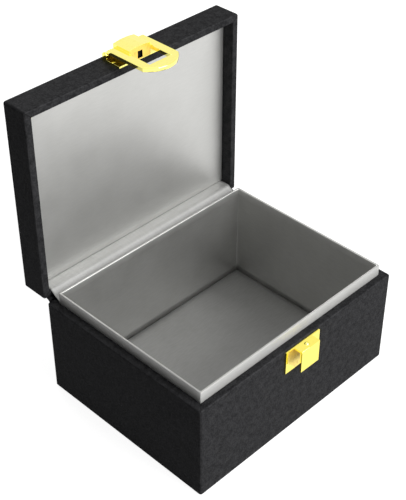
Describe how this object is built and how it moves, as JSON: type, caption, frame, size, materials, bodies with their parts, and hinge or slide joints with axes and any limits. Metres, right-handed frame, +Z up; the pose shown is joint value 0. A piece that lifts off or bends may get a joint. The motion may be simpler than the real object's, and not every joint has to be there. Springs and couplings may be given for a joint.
{
  "type": "faraday key box",
  "caption": "Small hinged rigid box wrapped in black leatherette, with a silver conductive cloth lining, a raised inner frame and a gilt snap hasp with a spring ball catch.",
  "frame": {"origin": "centre of the flat face the box stands on", "axes": "+Z up, the latch side faces -Y, +X to the right along the front, seen from the front"},
  "size_m": [0.14, 0.1329, 0.1748],
  "materials": {
    "leatherette": "matte",
    "greyboard": "matte",
    "card": "matte",
    "shield_cloth": "satin",
    "gilt_brass": "polished",
    "steel": "satin",
    "foam": "matte",
    "bottom_paper": "matte"
  },
  "bodies": {
    "base": {"base_bottom_cover": "bottom_paper", "base_floor_board": "greyboard", "base_front_board": "greyboard", "base_back_board": "greyboard", "base_left_board": "greyboard", "base_right_board": "greyboard", "base_wrap": "leatherette", "neck_front_card": "card", "neck_back_card": "card", "neck_left_card": "card", "neck_right_card": "card", "base_floor_card": "card", "base_shield_liner": "shield_cloth", "hinge_spine": "leatherette", "hinge_shield_strip": "shield_cloth", "keeper": "gilt_brass", "keeper_studs": "steel", "detent_sleeve": "steel", "detent_spring": "steel"},
    "lid": {"lid_top_board": "greyboard", "lid_front_board": "greyboard", "lid_back_board": "greyboard", "lid_left_board": "greyboard", "lid_right_board": "greyboard", "lid_wrap": "leatherette", "lid_foam_pad": "foam", "lid_panel_card": "card", "lid_shield_liner": "shield_cloth", "lid_plate": "gilt_brass", "lid_plate_studs": "steel", "hasp_pin": "gilt_brass"},
    "hasp": {"hasp": "gilt_brass"},
    "ball": {"detent_ball": "gilt_brass"}
  },
  "joints": [
    {"name": "lid_hinge", "type": "hinge", "parent": "base", "child": "lid", "pos_m": [0, 0.05577, 0.05631], "axis": [1, 0, 0], "range_deg": [0, 90], "deforming": ["hinge_spine", "hinge_shield_strip"]},
    {"name": "hasp_hinge", "type": "hinge", "parent": "lid", "child": "hasp", "pos_m": [0, 0.06766, 0.16978], "axis": [-1, 0, 0], "range_deg": [0, 110]},
    {"name": "ball_press", "type": "slide", "parent": "base", "child": "ball", "axis": [0, 0, -1], "range_m": [0, 0.00065], "stiffness_N_per_m": 800, "deforming": ["detent_spring"]}
  ]
}
